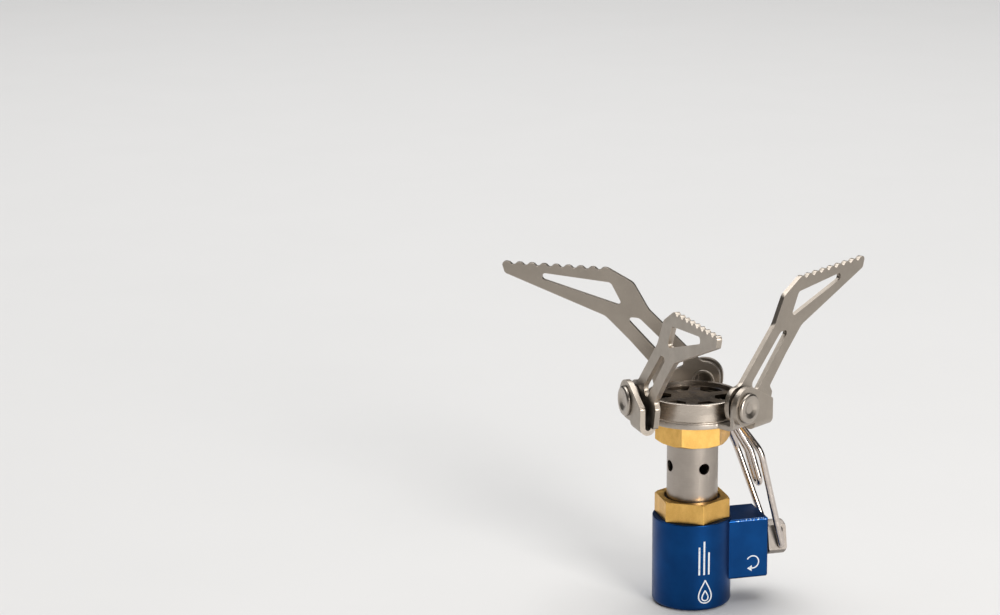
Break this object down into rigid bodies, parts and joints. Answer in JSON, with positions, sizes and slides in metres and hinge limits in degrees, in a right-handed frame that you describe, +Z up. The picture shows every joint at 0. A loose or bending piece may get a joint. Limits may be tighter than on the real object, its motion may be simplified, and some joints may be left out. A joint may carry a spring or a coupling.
{
  "type": "canister stove",
  "caption": "Compact folding gas canister stove: round burner on a mixing tube and threaded valve body, swing-out serrated pot supports and a folding wire valve handle.",
  "frame": {"origin": "centre of the valve body's lower face, at the mouth of the canister thread", "axes": "+Z up along the burner's axis, away from the canister; +X along the valve spindle, out of the side boss"},
  "size_m": [0.0869, 0.085, 0.0789],
  "materials": {
    "anodised_body": "blue anodised, satin",
    "rubber_seal": "matt black nitrile",
    "turned_brass": "turned",
    "sintered_filter": "sintered, porous",
    "copper_washer": "annealed",
    "brass_nut": "machined, slightly dulled",
    "tube_steel": "drawn, satin",
    "support_steel": "tumbled sheet, warm grey",
    "burner_steel": "spun, satin",
    "heated_steel": "heat-tinted brown-grey",
    "rivet_steel": "tumbled",
    "bright_spindle": "bright nickel",
    "bright_wire": "bright nickel"
  },
  "bodies": {
    "burner": {"valve_body": "anodised_body", "canister_seal": "rubber_seal", "valve_pin": "turned_brass", "gas_filter": "sintered_filter", "jet": "turned_brass", "jet_seal": "copper_washer", "lower_nut": "brass_nut", "mixing_tube": "tube_steel", "upper_nut": "brass_nut", "support_bracket": "support_steel", "burner_cup": "burner_steel", "flame_spreader": "burner_steel", "flame_plate": "heated_steel", "pivot_rivet_1": "rivet_steel", "pivot_rivet_2": "rivet_steel", "pivot_rivet_3": "rivet_steel", "gland_nut": "turned_brass", "spindle_seal": "rubber_seal"},
    "spindle": {"spindle": "bright_spindle"},
    "handle": {"control_handle": "bright_wire"},
    "support_1": {"pot_support_1": "support_steel"},
    "support_2": {"pot_support_2": "support_steel"},
    "support_3": {"pot_support_3": "support_steel"}
  },
  "joints": [
    {"name": "support_1_fold", "type": "hinge", "parent": "burner", "child": "support_1", "pos_m": [0.00754, -0.01286, 0.0513], "axis": [0.5402, -0.8415, 0], "range_deg": [0, 76]},
    {"name": "support_2_fold", "type": "hinge", "parent": "burner", "child": "support_2", "pos_m": [0.00737, 0.01297, 0.0513], "axis": [0.4587, 0.8886, 0], "range_deg": [0, 76]},
    {"name": "support_3_fold", "type": "hinge", "parent": "burner", "child": "support_3", "pos_m": [-0.01491, -0.0001, 0.0513], "axis": [-0.9989, -0.0471, 0], "range_deg": [0, 76]},
    {"name": "valve_turn", "type": "hinge", "parent": "burner", "child": "spindle", "pos_m": [0.012, 0, 0.0139], "axis": [1, 0, 0], "range_deg": [0, 900]},
    {"name": "handle_fold", "type": "hinge", "parent": "spindle", "child": "handle", "pos_m": [0.0216, -0.00037, 0.01214], "axis": [0, 0.9781, -0.2079], "range_deg": [0, 180]}
  ]
}
